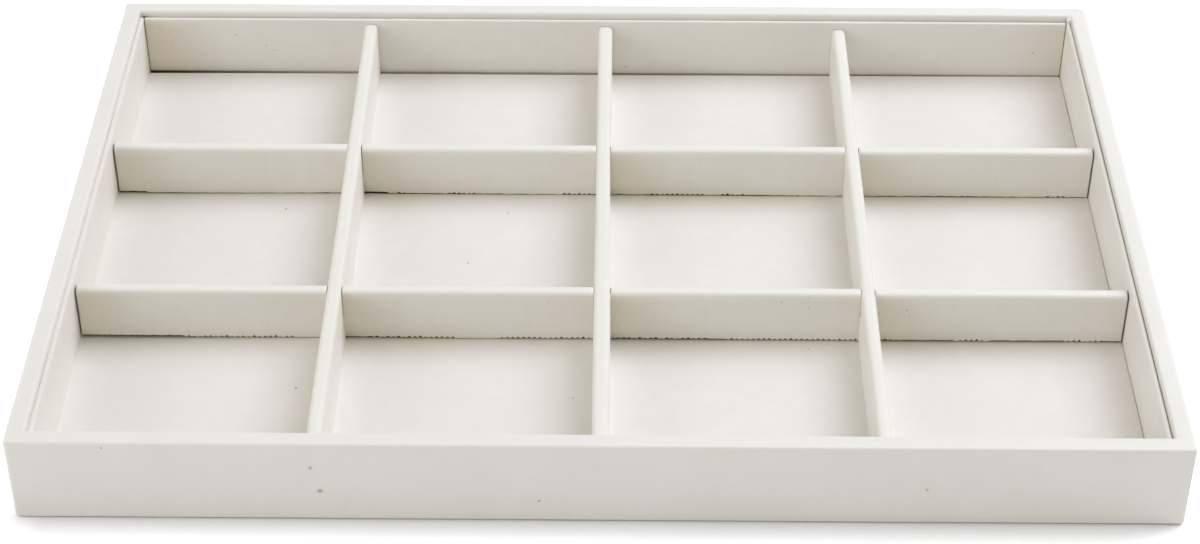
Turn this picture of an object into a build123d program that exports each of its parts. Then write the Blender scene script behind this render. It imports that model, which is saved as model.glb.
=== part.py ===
from build123d import *
import os

# Overall size of the tray
tray_length = 350.0
tray_depth = 240.0
tray_height = 30.0

# Cells: columns lie side by side, rows run from front to back
column_count = 4
row_count = 3

# Outer frame: boards under one wrapped cover
frame_board = 5.0
frame_sheet = 0.4
frame_corner_radius = 1.6
frame_outer_edge_radius = 1.2
frame_inner_edge_radius = 1.3
frame_turn_in = 12.0

# Bottom: the panel inside the frame, and the sheet glued under it
base_board = 3.0
underside_sheet = 0.5
underside_margin = 3.0

# Liners: thin wrapped strips that stand inside the frame
liner_board = 0.9
liner_sheet = 0.25
liner_edge_radius = 0.6
liner_turn_in = 10.0
liner_gap = 0.15
liner_drop = 2.3

# Floor pad
floor_board = 1.0
floor_sheet = 0.4
floor_edge_radius = 0.8
floor_gap = 0.3
floor_back_gap = 0.8

# Dividers: wrapped boards that cross with halving joints
divider_board = 3.4
divider_sheet = 0.4
divider_edge_radius = 1.5
column_divider_height = 19.5
row_divider_drop = 0.6
column_end_gap = 0.3
row_end_gap = 0.5
slot_side_gap = 0.3
slot_shoulder_gap = 0.3
halving_share = 0.5
row_spread_share = 1.016

# Cuts run past the material by this much
overrun = 2.0

# Levels, from the table upwards
frame_bottom = underside_sheet
board_bottom = frame_bottom + frame_sheet
base_top = board_bottom + base_board
floor_top = base_top + floor_board + floor_sheet
liner_top = tray_height - liner_drop
halving_level = floor_top + halving_share * column_divider_height
row_divider_height = column_divider_height - row_divider_drop

# Plan sizes, from the outside inwards
board_length = tray_length - 2 * frame_sheet
board_depth = tray_depth - 2 * frame_sheet
base_length = board_length - 2 * frame_board
base_depth = board_depth - 2 * frame_board
hollow_length = base_length - 2 * frame_sheet
hollow_depth = base_depth - 2 * frame_sheet
liner_thickness = liner_board + 2 * liner_sheet
liner_height = liner_top - base_top
inner_length = hollow_length - 2 * liner_gap - 2 * liner_thickness
inner_depth = hollow_depth - 2 * liner_gap - 2 * liner_thickness

# Dividers and cells in plan
divider_thickness = divider_board + 2 * divider_sheet
cell_length = (inner_length - (column_count - 1) * divider_thickness) / column_count
cell_depth = (inner_depth - (row_count - 1) * divider_thickness) / row_count
column_places = [
    -inner_length / 2 + n * (cell_length + divider_thickness) - divider_thickness / 2
    for n in range(1, column_count)
]
even_row_places = [
    -inner_depth / 2 + n * (cell_depth + divider_thickness) - divider_thickness / 2
    for n in range(1, row_count)
]
row_places = [row_spread_share * place for place in even_row_places]


def block(length, depth, height, bottom, x=0, y=0):
    """A box given by its size, the level of its underside and its centre in plan."""
    low = (Align.CENTER, Align.CENTER, Align.MIN)
    return Pos(x, y, bottom) * Box(length, depth, height, align=low)


def top_face(solid):
    """The highest flat face of a solid."""
    return solid.faces().filter_by(Axis.Z).sort_by(Axis.Z)[-1]


def rounded_frame(length, depth, bottom, top, hollow, corner, outer_edge, inner_edge):
    """A frame with rounded corners in plan and rounded edges on top."""
    height = top - bottom
    frame = block(length, depth, height, bottom)
    frame = fillet(frame.edges().filter_by(Axis.Z), corner)
    frame = fillet(top_face(frame).outer_wire().edges(), outer_edge)
    frame -= block(hollow[0], hollow[1], height + 2 * overrun, bottom - overrun)
    return fillet(top_face(frame).inner_wires()[0].edges(), inner_edge)


def frame_boards():
    """The four boards: front and back run the full length, the sides fit between."""
    ring = rounded_frame(
        board_length,
        board_depth,
        board_bottom,
        tray_height - frame_sheet,
        (base_length, base_depth),
        frame_corner_radius - frame_sheet,
        frame_outer_edge_radius - frame_sheet,
        frame_inner_edge_radius - frame_sheet,
    )
    long_cut = block(board_length, frame_board, tray_height, 0, y=board_depth / 2 - frame_board / 2)
    side_cut = block(frame_board, base_depth, tray_height, 0, x=board_length / 2 - frame_board / 2)
    return {
        "front_frame_board": ring & mirror(long_cut, Plane.XZ),
        "back_frame_board": ring & long_cut,
        "left_frame_board": ring & mirror(side_cut, Plane.YZ),
        "right_frame_board": ring & side_cut,
    }


def base_panel():
    """The panel that closes the frame from below."""
    return block(base_length, base_depth, base_board, board_bottom)


def frame_cover(boards, panel):
    """One sheet over the frame: down its inside, over the top, down and under the outside."""
    cover = rounded_frame(
        tray_length,
        tray_depth,
        frame_bottom,
        tray_height,
        (hollow_length, hollow_depth),
        frame_corner_radius,
        frame_outer_edge_radius,
        frame_inner_edge_radius,
    )
    turn_in = block(tray_length, tray_depth, board_bottom - frame_bottom, frame_bottom)
    turn_in = fillet(turn_in.edges().filter_by(Axis.Z), frame_corner_radius)
    cover += turn_in
    opening_length = tray_length - 2 * frame_turn_in
    opening_depth = tray_depth - 2 * frame_turn_in
    cover -= block(opening_length, opening_depth, base_top, 0)
    for board in boards:
        cover -= board
    return cover - panel


def underside():
    """The sheet glued under the tray, stepped up inside the turned-in cover."""
    sheet = block(
        tray_length - 2 * underside_margin,
        tray_depth - 2 * underside_margin,
        underside_sheet,
        0,
    )
    step_length = tray_length - 2 * frame_turn_in
    step_depth = tray_depth - 2 * frame_turn_in
    sheet += block(step_length, step_depth, board_bottom, 0)
    hollow_top = board_bottom - underside_sheet
    inset = 2 * underside_sheet
    return sheet - block(step_length - inset, step_depth - inset, hollow_top + overrun, -overrun)


def rounded_strip(length, thickness, height, radius):
    """An upright strip along X with its two long top edges rounded."""
    strip = block(length, thickness, height, 0)
    return fillet(top_face(strip).edges().filter_by(Axis.X), radius)


def wrapped_strip(length, board, sheet, height, radius):
    """The board of a strip, and the sheet folded over its faces, top and ends."""
    core = rounded_strip(length - 2 * sheet, board, height - sheet, radius - sheet)
    cover = rounded_strip(length, board + 2 * sheet, height, radius) - core
    return core, cover


def liner_pair(length):
    """The board and cover of one liner, with the cover's short fold on the +Y side."""
    core, cover = wrapped_strip(length, liner_board, liner_sheet, liner_height, liner_edge_radius)
    below_fold = liner_height - liner_turn_in
    cut_place = liner_thickness / 2 - liner_sheet / 2
    cover -= block(length + 2 * overrun, liner_sheet, below_fold, 0, y=cut_place)
    return core, cover


def liners():
    """Four liners: the sides run the full depth, front and back fit between them."""
    made = {}
    side_length = hollow_depth - 2 * liner_gap
    between_length = inner_length - 2 * liner_gap
    side_place = inner_length / 2 + liner_thickness / 2
    end_place = inner_depth / 2 + liner_thickness / 2
    seats = {
        "front": (between_length, Pos(0, -end_place, base_top) * Rot(0, 0, 180)),
        "back": (between_length, Pos(0, end_place, base_top)),
        "left": (side_length, Pos(-side_place, 0, base_top) * Rot(0, 0, 90)),
        "right": (side_length, Pos(side_place, 0, base_top) * Rot(0, 0, -90)),
    }
    for side, (length, seat) in seats.items():
        core, cover = liner_pair(length)
        made[side + "_liner_board"] = seat * core
        made[side + "_liner_cover"] = seat * cover
    return made


def floor_pad():
    """The board of the floor pad, and the sheet over its top and edges."""
    length = inner_length - 2 * floor_gap
    depth = inner_depth - floor_gap - floor_back_gap
    seat = (floor_gap - floor_back_gap) / 2
    board_size = (length - 2 * floor_sheet, depth - 2 * floor_sheet, floor_board)
    board = block(*board_size, base_top, y=seat)
    board = fillet(top_face(board).edges(), floor_edge_radius - floor_sheet)
    cover = block(length, depth, floor_top - base_top, base_top, y=seat)
    cover = fillet(top_face(cover).edges(), floor_edge_radius)
    return {"floor_board": board, "floor_cover": cover - board}


def slotted(piece, places, bottom, top):
    """A strip along X with a slot for each divider that crosses it."""
    slot_width = divider_thickness + 2 * slot_side_gap
    for place in places:
        piece -= block(slot_width, divider_thickness + 2 * overrun, top - bottom, bottom, x=place)
    return piece


def column_dividers():
    """Dividers from front to back: slotted from below, so their tops run unbroken."""
    made = {}
    length = inner_depth - 2 * column_end_gap
    core, cover = wrapped_strip(
        length, divider_board, divider_sheet, column_divider_height, divider_edge_radius
    )
    slot_top = halving_level - floor_top + slot_shoulder_gap
    core = slotted(core, row_places, -overrun, slot_top)
    cover = slotted(cover, row_places, -overrun, slot_top)
    for number, place in enumerate(column_places, start=1):
        seat = Pos(place, 0, floor_top) * Rot(0, 0, 90)
        made[f"column_divider_{number}_core"] = seat * core
        made[f"column_divider_{number}_cover"] = seat * cover
    return made


def row_dividers():
    """Dividers from side to side: slotted from above, under the column dividers."""
    made = {}
    length = inner_length - 2 * row_end_gap
    core, cover = wrapped_strip(
        length, divider_board, divider_sheet, row_divider_height, divider_edge_radius
    )
    slot_bottom = halving_level - floor_top
    slot_top = row_divider_height + overrun
    core = slotted(core, column_places, slot_bottom, slot_top)
    cover = slotted(cover, column_places, slot_bottom, slot_top)
    for number, place in enumerate(row_places, start=1):
        seat = Pos(0, place, floor_top)
        made[f"row_divider_{number}_core"] = seat * core
        made[f"row_divider_{number}_cover"] = seat * cover
    return made


boards = frame_boards()
panel = base_panel()
parts = {
    "underside_sheet": underside(),
    "base_panel": panel,
    **boards,
    "frame_cover": frame_cover(boards.values(), panel),
    **liners(),
    **floor_pad(),
    **row_dividers(),
    **column_dividers(),
}

os.makedirs("parts", exist_ok=True)
for name, part in parts.items():
    export_step(part, f"parts/{name}.step")
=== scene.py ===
import math

import bmesh
import bpy
from mathutils import Matrix, Vector, noise


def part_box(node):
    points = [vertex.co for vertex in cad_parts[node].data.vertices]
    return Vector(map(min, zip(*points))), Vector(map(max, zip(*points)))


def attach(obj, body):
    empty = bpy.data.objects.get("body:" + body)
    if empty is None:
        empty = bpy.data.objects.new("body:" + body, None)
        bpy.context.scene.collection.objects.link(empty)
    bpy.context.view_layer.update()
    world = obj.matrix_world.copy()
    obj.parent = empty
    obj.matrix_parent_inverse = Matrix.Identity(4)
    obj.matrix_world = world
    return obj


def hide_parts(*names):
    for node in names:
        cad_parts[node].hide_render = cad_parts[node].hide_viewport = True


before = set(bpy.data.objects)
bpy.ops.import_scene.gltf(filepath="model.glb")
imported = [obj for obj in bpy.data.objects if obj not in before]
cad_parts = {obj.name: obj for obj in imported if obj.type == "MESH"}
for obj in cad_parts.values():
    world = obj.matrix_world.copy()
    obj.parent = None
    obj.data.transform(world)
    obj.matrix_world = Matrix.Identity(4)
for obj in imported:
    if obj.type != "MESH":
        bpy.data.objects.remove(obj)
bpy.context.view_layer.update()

bl_info = {
    "name": "Jewelry tray",
    "version": (1, 0, 0),
    "blender": (4, 5, 0),
    "location": "3D View > Sidebar > Jewelry tray",
    "description": "Dresses the packed jewelry tray in its leatherette, boards and paper",
    "category": "Object",
}

MM = 0.001
SIDES = ("front", "back", "left", "right")
QUARTER = math.pi / 2

# Where the photographed tray has lint or a pinhole: place in mm, and radius in mm
FRAME_FLECKS = (
    ((-85.1, -120.0, 20.9), 0.85),
    ((-82.8, -120.0, 11.7), 1.15),
    ((-17.8, -120.0, 8.3), 0.60),
    ((97.1, -120.0, 13.8), 0.60),
    ((-145.9, -120.0, 28.3), 0.50),
    ((-165.5, -119.6, 29.2), 0.40),
)
LINING_FLECKS = (
    ((-108.7, 27.9, 5.3), 0.60),
    ((-32.4, 26.4, 5.3), 0.50),
    ((-44.8, -1.6, 5.3), 0.55),
    ((-95.8, -66.0, 5.3), 0.60),
    ((-8.6, -69.9, 5.3), 0.45),
    ((66.7, -45.2, 5.3), 0.45),
    ((7.9, 112.7, 8.0), 0.45),
    ((156.8, 112.7, 15.2), 0.50),
    ((-134.6, 112.7, 21.0), 0.45),
    ((-124.0, 112.7, 16.3), 0.38),
    ((-121.2, 112.7, 14.5), 0.34),
)
DIVIDER_FLECKS = (
    ((57.5, -41.0, 21.2), 0.40),
    ((66.0, -41.0, 22.9), 0.32),
    ((66.2, -41.0, 18.8), 0.34),
    ((97.5, -41.0, 18.2), 0.42),
    ((98.3, -41.0, 15.7), 0.36),
    ((-16.6, -41.0, 20.6), 0.30),
    ((-13.8, -41.0, 10.3), 0.30),
)
# Where a fold of the frame's cover has yellowed: place in mm, and radius in mm
FRAME_YELLOWED = (((-171.9, -117.6, 30.0), 2.4),)

# Stretches of the row dividers where the teeth of the pinked edge show: from and to, in mm
TOOTHED = {
    1: ((-135, -98.5), (-74, -46), (-33, -3), (3, 33.5), (39.5, 82.5), (89.5, 95), (114, 124), (150, 161)),
    2: ((-73, -68), (-54.5, -43), (-15, -3), (16.5, 34.5), (40, 49.5), (66, 69), (122.5, 125.5), (153, 160)),
}
# Stretches of the row dividers that stand off the floor most: from and to, in mm
LIFTED = {
    1: ((-168, -134), (-83, -62), (4, 41), (89, 113), (125, 149), (160, 168)),
    2: ((-168, -158), (-84, -74)),
}
# How deep the teeth show on each row divider, as a share of a whole tooth
TOOTH_SHARES = {1: 1.0, 2: 0.72}
# How far the foot of each row divider's front face stands forward at its left end, in mm
FOOT_FLARE = {1: 0.70, 2: 0.65}
# How much higher that foot stands off the floor, as a share of the edge lift
FOOT_LIFT_SHARES = {1: 1.1, 2: 0.3}
# How far each row divider's cover stands back from its packed place, in mm
ROW_STAND = {1: -0.12, 2: 0.10}

# How far each column divider's cover stands out from its packed thickness, in mm, at places along it in mm
# (front to back): on the left at its top and foot, and on the right at its top and foot
COLUMN_SWELL = {
    1: ((-113, 0.35, 0.05, 0.05, 0.50), (-40, 0.35, 0.10, 0.05, 0.50), (40, 0.35, 0.10, 0.15, 0.45),
        (80, 0.40, 0.25, 0.05, 0.25), (113, 0.45, 0.30, 0.00, 0.20)),
    2: ((-113, 0.22, 0.22, 0.75, 0.75), (-40, 0.25, 0.25, 0.90, 0.90), (0, 0.15, 0.15, 0.60, 0.60),
        (40, 0.12, 0.12, 0.38, 0.38), (80, 0.15, 0.15, 0.60, 0.60), (113, 0.18, 0.15, 0.70, 0.70)),
    3: ((-113, 0.10, 0.05, 0.05, 0.05), (-40, 0.08, 0.05, 0.12, 0.10), (40, 0.00, 0.00, 0.35, 0.30),
        (113, 0.00, 0.00, 0.32, 0.25)),
}
# How much higher each column divider's top stands at its back end, in mm
COLUMN_RISE = {1: 1.20, 2: 0.80, 3: 0.20}


# Colours and sizes

def linear(code):
    """A colour written as sRGB hex, as linear red, green, blue and alpha."""
    parts = [int(code[n:n + 2], 16) / 255 for n in (1, 3, 5)]
    return [c / 12.92 if c <= 0.04045 else ((c + 0.055) / 1.055) ** 2.4 for c in parts] + [1.0]


def length_property(name, description, default):
    """A length that a user can change, in metres."""
    return bpy.props.FloatProperty(
        name=name, description=description, default=default, min=0.0, precision=5, unit="LENGTH"
    )


def colour_property(name, description, code):
    """A colour that a user can change."""
    return bpy.props.FloatVectorProperty(
        name=name, description=description, default=linear(code), size=4, min=0.0, max=1.0, subtype="COLOR"
    )


class TraySizes(bpy.types.PropertyGroup):
    """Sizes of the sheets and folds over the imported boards"""

    frame_sheet: length_property("Frame sheet", "Thickness of the leatherette on the frame", 0.38 * MM)
    rim_outer_radius: length_property("Rim outer edge", "Radius of the rim's outer edge", 0.9 * MM)
    rim_inner_radius: length_property("Rim inner edge", "Radius of the rim's inner edge", 0.8 * MM)
    foot_radius: length_property("Foot edge", "Radius where the cover turns under the tray", 0.45 * MM)
    corner_radius: length_property("Frame corner", "Radius of the frame's upright corners", 1.2 * MM)
    turn_in: length_property("Turn-in", "Width of the cover glued under the tray", 12.0 * MM)
    liner_sheet: length_property("Liner sheet", "Thickness of the leatherette on the liners", 0.23 * MM)
    liner_top_radius: length_property("Liner top edge", "Radius of the liners' top edges", 0.6 * MM)
    liner_fold: length_property("Liner fold", "Length of the cover's fold behind a liner", 10.0 * MM)
    floor_sheet: length_property("Floor sheet", "Thickness of the leatherette on the floor pad", 0.38 * MM)
    floor_edge_radius: length_property("Floor edge", "Radius of the floor pad's edges", 0.4 * MM)
    floor_back_gap: length_property("Floor back gap", "Extra gap behind the floor pad's left end", 0.75 * MM)
    divider_sheet: length_property("Divider sheet", "Thickness of the leatherette on the dividers", 0.38 * MM)
    divider_top_radius: length_property("Divider top edge", "Radius of the dividers' top edges", 1.5 * MM)
    divider_end_radius: length_property("Row end", "Radius of the row dividers' end folds", 0.55 * MM)
    column_end_radius: length_property("Column end", "Radius of the column dividers' end folds", 0.4 * MM)
    tooth_pitch: length_property("Pinking pitch", "Distance between the teeth of a pinked edge", 1.75 * MM)
    edge_lift: length_property("Edge lift", "Height of a pinked edge above the floor", 0.40 * MM)
    tooth_depth: length_property("Pinking depth", "Depth of the teeth of a pinked edge", 1.20 * MM)
    underside_sheet: length_property("Underside sheet", "Thickness of the sheet under the tray", 0.45 * MM)
    ripple: length_property("Unevenness", "Height of the hand-laid sheets' unevenness", 0.05 * MM)


class TrayColours(bpy.types.PropertyGroup):
    """Colours of the tray's finishes"""

    frame_leatherette: colour_property("Frame leatherette", "Cream cover of the frame", "#EEECE7")
    liner_leatherette: colour_property("Lining leatherette", "Cream cover of liners and floor", "#EFECE7")
    divider_leatherette: colour_property("Divider leatherette", "Cream cover of the dividers", "#EFEDE7")
    sheet_backing: colour_property("Sheet backing", "Cut edges and inner side of the leatherette", "#D9D0C0")
    fibreboard: colour_property("Fibreboard", "Raw boards of frame and dividers", "#5C4935")
    grey_card: colour_property("Grey card", "Raw card of liners and floor pad", "#A39D92")
    underside_felt: colour_property("Underside felt", "Paper-backed felt under the tray", "#CFC6B6")
    # Painted shade: a dark colour laid into creases, gaps, folded ends and the boards' foot, where shade
    # falls
    crevice_shade_colour: colour_property("Crevices", "Glue and dust where a sheet goes down into a gap", "#2E271E")
    flecks: colour_property("Flecks", "Lint and pinholes in the leatherette", "#84745C")


def sizes():
    return bpy.context.scene.tray_sizes


def colours():
    return bpy.context.scene.tray_colours


def clipped(value):
    """A value held between 0 and 1."""
    return min(1.0, max(0.0, value))


def fading(distance, reach):
    """1 at no distance, less further away, and 0 from the reach on."""
    return max(0.0, 1 - distance / reach)


# Materials

def add(tree, kind, inputs=None, **settings):
    """Adds a node with its settings; an input given a node or a socket is linked, and else set."""
    node = tree.nodes.new("ShaderNode" + kind)
    for key, value in settings.items():
        setattr(node, key, value)
    for key, value in (inputs or {}).items():
        if isinstance(value, bpy.types.Node):
            value = next(socket for socket in value.outputs if socket.enabled)
        if isinstance(value, bpy.types.NodeSocket):
            tree.links.new(value, node.inputs[key])
        else:
            node.inputs[key].default_value = value
    return node


def new_material(name, surface, *details):
    """A node material that shows what the surface function makes in its tree."""
    material = bpy.data.materials.new(name)
    material.use_nodes = True
    tree = material.node_tree
    tree.nodes.clear()
    output = add(tree, "OutputMaterial")
    tree.links.new(surface(tree, *details).outputs[0], output.inputs["Surface"])
    return material


def shade(colour, factor, warmth=0.0):
    """A colour made lighter or darker, and warmer by taking out some blue."""
    red, green, blue = colour[:3]
    return [red * factor, green * factor * (1 - warmth / 3), blue * factor * (1 - warmth), 1.0]


def leatherette(tree, colour, streaks, flecks, yellowed=()):
    """Cream PU leatherette, cast on a release paper with a fine pebble grain over a cloth backing.

    To the eye it is matte and nearly even, with the backing's upright threads faintly showing through,
    pressed and slightly yellowed folds, and a few flecks of lint.
    """
    place = add(tree, "TexCoord").outputs["Object"]
    # The real grain is about 0.3 mm across, too fine for the picture, so it is drawn at 0.8 mm
    grain = add(tree, "TexVoronoi", {"Vector": place, "Scale": 1 / (0.8 * MM), "Smoothness": 0.6},
                feature="SMOOTH_F1")
    # Backing threads, about 0.5 mm apart, drawn 1.1 mm apart and drawn out upwards
    upright = add(tree, "Mapping", {"Vector": place, "Scale": (1.0, 1.0, 0.06)})
    threads = add(tree, "TexNoise",
                  {"Vector": upright, "Scale": 1 / (1.1 * MM), "Detail": 3.0, "Roughness": 0.6})
    thready = add(tree, "MapRange",
                  {"Value": threads, "From Min": 0.4, "From Max": 0.75, "To Max": streaks})
    # Uneven coating, in clouds about 30 mm and 6 mm across
    clouds = add(tree, "TexNoise", {"Vector": place, "Scale": 1 / (30 * MM), "Detail": 2.0})
    cloudy = add(tree, "MapRange", {"Value": clouds, "From Min": 0.35, "From Max": 0.65})
    patches = add(tree, "TexNoise", {"Vector": place, "Scale": 1 / (6 * MM), "Detail": 4.0})
    patchy = add(tree, "MapRange",
                 {"Value": patches, "From Min": 0.35, "From Max": 0.7, "To Max": 2.2 * streaks})
    # The folds are pressed, so a little smoother and yellower
    fold = add(tree, "Attribute", attribute_name="fold").outputs["Fac"]
    worn = add(tree, "Math", {0: fold, 1: patches}, operation="MULTIPLY")
    # Painted shade in the corners and at the feet, broken into speckles about 0.45 mm across
    dust = add(tree, "Attribute", attribute_name="dust").outputs["Fac"]
    speckles = add(tree, "TexNoise",
                   {"Vector": place, "Scale": 1 / (0.45 * MM), "Detail": 3.0, "Roughness": 0.6})
    speckled = add(tree, "MapRange", {"Value": speckles, "From Min": 0.38, "From Max": 0.62,
                                      "To Min": 0.6, "To Max": 1.35})
    shade_amount = add(tree, "Math", {0: dust, 1: speckled}, operation="MULTIPLY")
    # Lint all over: in about one of 17 cells 9 mm across, each fleck 0.7 mm across at most
    lint = add(tree, "TexVoronoi", {"Vector": place, "Scale": 1 / (9 * MM)})
    some = add(tree, "SeparateColor", {"Color": lint.outputs["Color"]})
    rare = add(tree, "Math", {0: some, 1: 0.94}, operation="GREATER_THAN")
    near = add(tree, "MapRange", {"Value": lint, "From Min": 0.018, "From Max": 0.04,
                                  "To Min": 0.35, "To Max": 0.0})
    marks = add(tree, "Math", {0: near, 1: rare}, operation="MULTIPLY")

    def mark(spot, radius, core_share, strength):
        away = add(tree, "VectorMath", {0: place, 1: [v * MM for v in spot]}, operation="DISTANCE")
        return add(tree, "MapRange", {"Value": away, "From Min": core_share * radius * MM,
                                      "From Max": radius * MM, "To Min": strength, "To Max": 0.0})

    for spot, radius in flecks:
        marks = add(tree, "Math", {0: marks, 1: mark(spot, radius, 0.1, 0.75)}, operation="MAXIMUM")
    layers = [(patchy, shade(colour, 0.95, 0.03)), (thready, shade(colour, 0.9, 0.05)),
              (worn, shade(colour, 1.02, 0.03)), (shade_amount, shade(colour, 0.87, 0.17)),
              (marks, colours().flecks)]
    layers += [(mark(spot, radius, 0.0, 0.8), shade(colour, 1.03, 0.16)) for spot, radius in yellowed]
    # Painted shade: the crevice colour darkens the sheet where it goes down into gaps and creases
    crevice = add(tree, "Attribute", attribute_name="crevice").outputs["Fac"]
    layers.append((crevice, colours().crevice_shade_colour))
    base = add(tree, "Mix", {0: cloudy, 6: shade(colour, 0.975, 0.012), 7: colour}, data_type="RGBA")
    for amount, tint in layers:
        base = add(tree, "Mix", {0: amount, 6: base, 7: tint}, data_type="RGBA")

    rough = add(tree, "MapRange", {"Value": patches, "From Min": 0.3, "From Max": 0.7,
                                   "To Min": 0.46, "To Max": 0.60})
    pressed = add(tree, "Math", {0: fold, 1: -0.08}, operation="MULTIPLY")
    rough = add(tree, "Math", {0: rough, 1: pressed}, operation="ADD")
    relief = add(tree, "Bump", {"Height": grain, "Strength": 0.25, "Distance": 0.05 * MM})
    for height, strength, depth in ((threads, 0.2, 0.05), (patches, 0.3, 0.25)):
        relief = add(tree, "Bump", {"Height": height, "Strength": strength, "Distance": depth * MM,
                                    "Normal": relief})
    return add(tree, "BsdfPrincipled", {"Base Color": base, "Roughness": rough, "Normal": relief,
                                        "IOR": 1.48, "Specular IOR Level": 0.5})


def sheet_backing(tree, colour):
    """Knitted polyester backing of the leatherette, and its knife-cut edge: off-white and fuzzy."""
    place = add(tree, "TexCoord").outputs["Object"]
    # Stitches of the knit are about 0.7 mm apart
    knit = add(tree, "TexNoise", {"Vector": place, "Scale": 1 / (0.7 * MM), "Detail": 4.0, "Roughness": 0.7})
    tint = add(tree, "MapRange", {"Value": knit, "From Min": 0.3, "From Max": 0.7})
    base = add(tree, "Mix", {0: tint, 6: shade(colour, 0.8, 0.05), 7: colour}, data_type="RGBA")
    relief = add(tree, "Bump", {"Height": knit, "Strength": 0.5, "Distance": 0.15 * MM})
    return add(tree, "BsdfPrincipled", {"Base Color": base, "Roughness": 0.9, "Normal": relief,
                                        "IOR": 1.45, "Specular IOR Level": 0.2})


def fibreboard(tree, colour):
    """Raw MDF: wood fibre pressed with resin and sawn, so matt brown with fine dark and pale fibres."""
    place = add(tree, "TexCoord").outputs["Object"]
    # Fibres are about 0.1 mm by 1 mm, drawn 0.35 mm across; the board's clumps are about 3 mm
    fibres = add(tree, "TexNoise", {"Vector": place, "Scale": 1 / (0.35 * MM), "Detail": 5.0,
                                    "Roughness": 0.75, "Distortion": 0.6})
    clumps = add(tree, "TexNoise", {"Vector": place, "Scale": 1 / (3 * MM), "Detail": 3.0})
    fibrous = add(tree, "MapRange", {"Value": fibres, "From Min": 0.3, "From Max": 0.7})
    clumpy = add(tree, "MapRange", {"Value": clumps, "From Min": 0.4, "From Max": 0.7, "To Max": 0.4})
    # Painted shade: the lowest part of the boards is darkened with the crevice colour, so that the gaps under
    # the dividers' pinked edges show dark
    upright = add(tree, "SeparateXYZ", {0: place})
    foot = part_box("floor_cover")[1].z
    foot_shade = add(tree, "MapRange",
                  {"Value": upright.outputs[2], "From Min": foot + 1.0 * MM, "From Max": foot + 1.8 * MM,
                   "To Min": 0.8, "To Max": 0.0})
    base = shade(colour, 0.7, 0.1)
    for amount, tint in ((fibrous, shade(colour, 1.2)), (clumpy, shade(colour, 0.75)),
                         (foot_shade, colours().crevice_shade_colour)):
        base = add(tree, "Mix", {0: amount, 6: base, 7: tint}, data_type="RGBA")
    rough = add(tree, "MapRange", {"Value": fibres, "To Min": 0.75, "To Max": 0.95})
    relief = add(tree, "Bump", {"Height": fibres, "Strength": 0.5, "Distance": 0.15 * MM})
    return add(tree, "BsdfPrincipled", {"Base Color": base, "Roughness": rough, "Normal": relief,
                                        "IOR": 1.45, "Specular IOR Level": 0.3})


def grey_card(tree, colour):
    """Grey board: pulped waste paper rolled flat, so matt grey with pale and dark paper fibres."""
    place = add(tree, "TexCoord").outputs["Object"]
    # Paper fibres are about 0.05 mm by 2 mm, drawn 0.4 mm across
    drawn = add(tree, "Mapping", {"Vector": place, "Scale": (0.3, 1.0, 1.0)})
    fibres = add(tree, "TexNoise",
                 {"Vector": drawn, "Scale": 1 / (0.4 * MM), "Detail": 4.0, "Roughness": 0.65})
    bits = add(tree, "TexVoronoi", {"Vector": place, "Scale": 1 / (2.5 * MM)})
    fibrous = add(tree, "MapRange", {"Value": fibres, "From Min": 0.3, "From Max": 0.7})
    bitty = add(tree, "MapRange", {"Value": bits, "From Min": 0.05, "From Max": 0.14,
                                   "To Min": 0.5, "To Max": 0.0})
    base = shade(colour, 0.86)
    for amount, tint in ((fibrous, shade(colour, 1.08)), (bitty, shade(colour, 0.5))):
        base = add(tree, "Mix", {0: amount, 6: base, 7: tint}, data_type="RGBA")
    rough = add(tree, "MapRange", {"Value": fibres, "To Min": 0.75, "To Max": 0.92})
    relief = add(tree, "Bump", {"Height": fibres, "Strength": 0.4, "Distance": 0.08 * MM})
    return add(tree, "BsdfPrincipled", {"Base Color": base, "Roughness": rough, "Normal": relief,
                                        "IOR": 1.45, "Specular IOR Level": 0.3})


def underside_felt(tree, colour):
    """Needled felt on paper, glued under the tray: matt beige with short crossing fibres and small pills."""
    place = add(tree, "TexCoord").outputs["Object"]
    # Felt fibres are about 0.03 mm thick and 10 mm long, drawn 0.5 mm across, in two directions
    crossing = []
    for turn, drawn in ((0.5, (0.15, 1.0, 1.0)), (-0.7, (1.0, 0.15, 1.0))):
        along = add(tree, "Mapping", {"Vector": place, "Rotation": (0, 0, turn), "Scale": drawn})
        crossing.append(add(tree, "TexNoise", {"Vector": along, "Scale": 1 / (0.5 * MM), "Detail": 3.0,
                                               "Distortion": 0.8}))
    fibres = add(tree, "Math", {0: crossing[0], 1: crossing[1]}, operation="MAXIMUM")
    clouds = add(tree, "TexNoise", {"Vector": place, "Scale": 1 / (14 * MM), "Detail": 3.0})
    fibrous = add(tree, "MapRange", {"Value": fibres, "From Min": 0.42, "From Max": 0.72})
    cloudy = add(tree, "MapRange", {"Value": clouds, "From Min": 0.4, "From Max": 0.7, "To Max": 0.3})
    base = shade(colour, 0.84, 0.04)
    for amount, tint in ((fibrous, shade(colour, 1.06)), (cloudy, shade(colour, 0.85, 0.06))):
        base = add(tree, "Mix", {0: amount, 6: base, 7: tint}, data_type="RGBA")
    rough = add(tree, "MapRange", {"Value": fibres, "To Min": 0.85, "To Max": 0.98})
    relief = add(tree, "Bump", {"Height": fibres, "Strength": 0.6, "Distance": 0.2 * MM})
    return add(tree, "BsdfPrincipled",
               {"Base Color": base, "Roughness": rough, "Normal": relief, "IOR": 1.45,
                "Specular IOR Level": 0.15, "Sheen Weight": 0.15, "Sheen Roughness": 0.6})


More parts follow.
